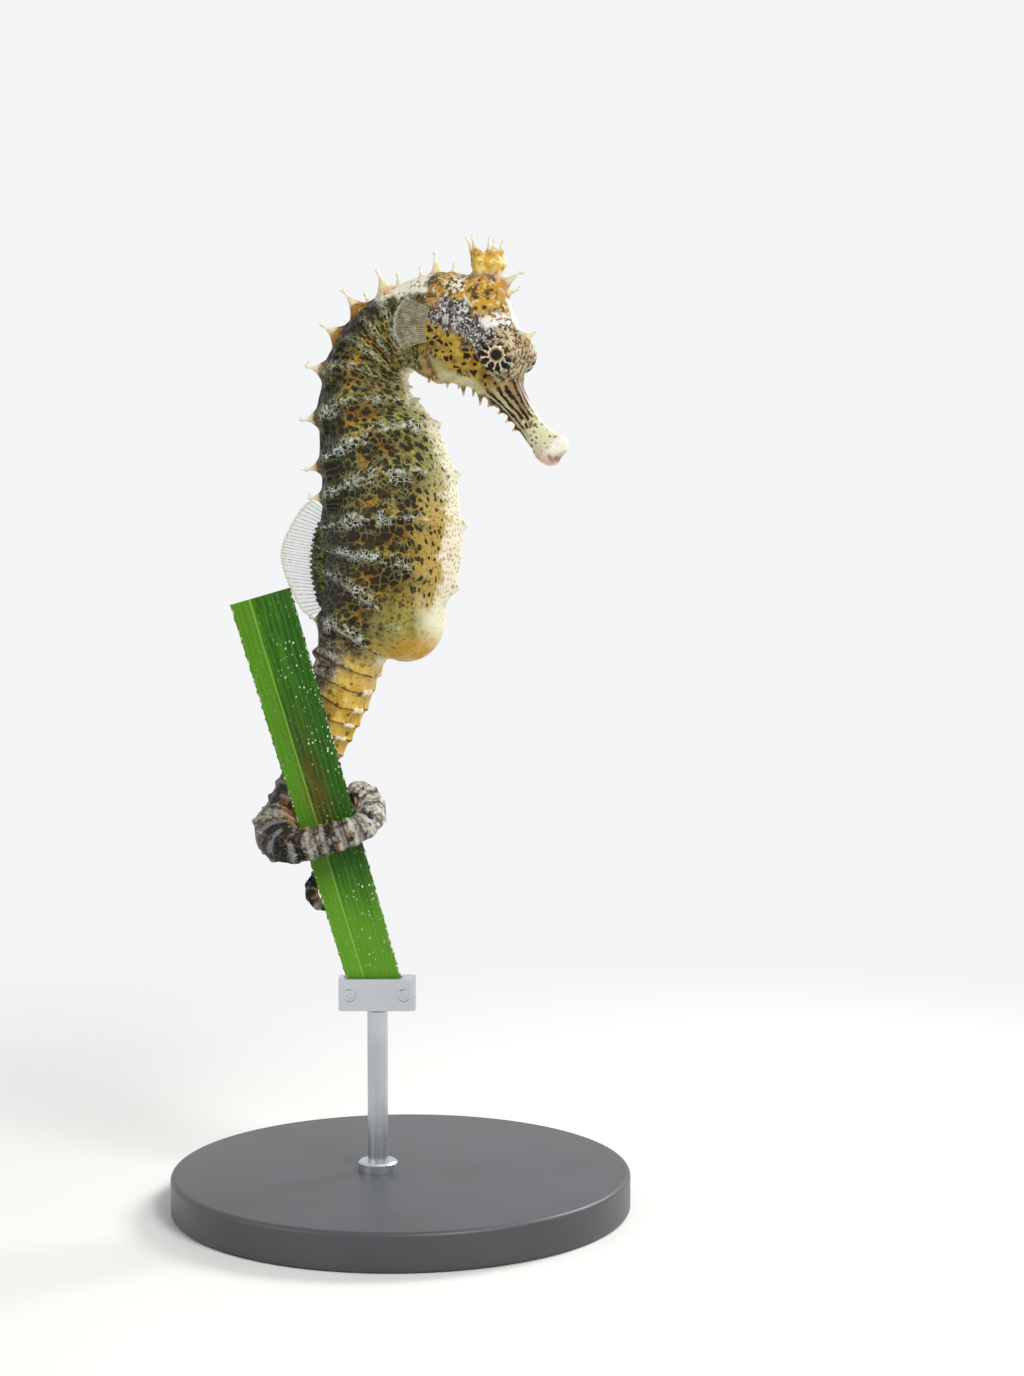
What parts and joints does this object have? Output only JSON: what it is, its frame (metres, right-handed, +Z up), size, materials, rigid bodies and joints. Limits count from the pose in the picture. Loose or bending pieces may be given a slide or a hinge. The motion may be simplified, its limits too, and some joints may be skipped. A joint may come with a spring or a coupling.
{
  "type": "male seahorse on a seagrass blade",
  "caption": "Still life-size model of a spiny male seahorse with its tail round a cut seagrass blade, on a round base with a short rod.",
  "frame": {"origin": "centre of the stand base's underside", "axes": "+Z up; +X the way the seahorse faces; its mirror plane is y = 0 and its right side is -Y"},
  "size_m": [0.072, 0.072, 0.1503],
  "materials": {
    "skin": "damp skin, cream and gold with dark spots",
    "eye": "wet gloss",
    "fin": "thin clear membrane with pale rays",
    "seagrass": "satin leaf green",
    "stand_base": "plain satin charcoal",
    "stand_metal": "satin steel"
  },
  "bodies": {
    "root": {"head": "skin", "snout": "skin", "coronet": "skin", "eye_right": "eye", "eye_left": "eye", "neck": "skin", "trunk_upper": "skin", "trunk_lower": "skin", "brood_pouch": "skin", "dorsal_fin": "fin", "pectoral_fin_right": "fin", "pectoral_fin_left": "fin", "tail_upper": "skin", "tail_middle": "skin", "tail_coil_left": "skin", "tail_coil_front": "skin", "tail_coil_right": "skin", "tail_end": "skin", "perch_blade": "seagrass", "stand_base": "stand_base", "stand_rod": "stand_metal", "stand_clamp": "stand_metal"}
  },
  "joints": []
}
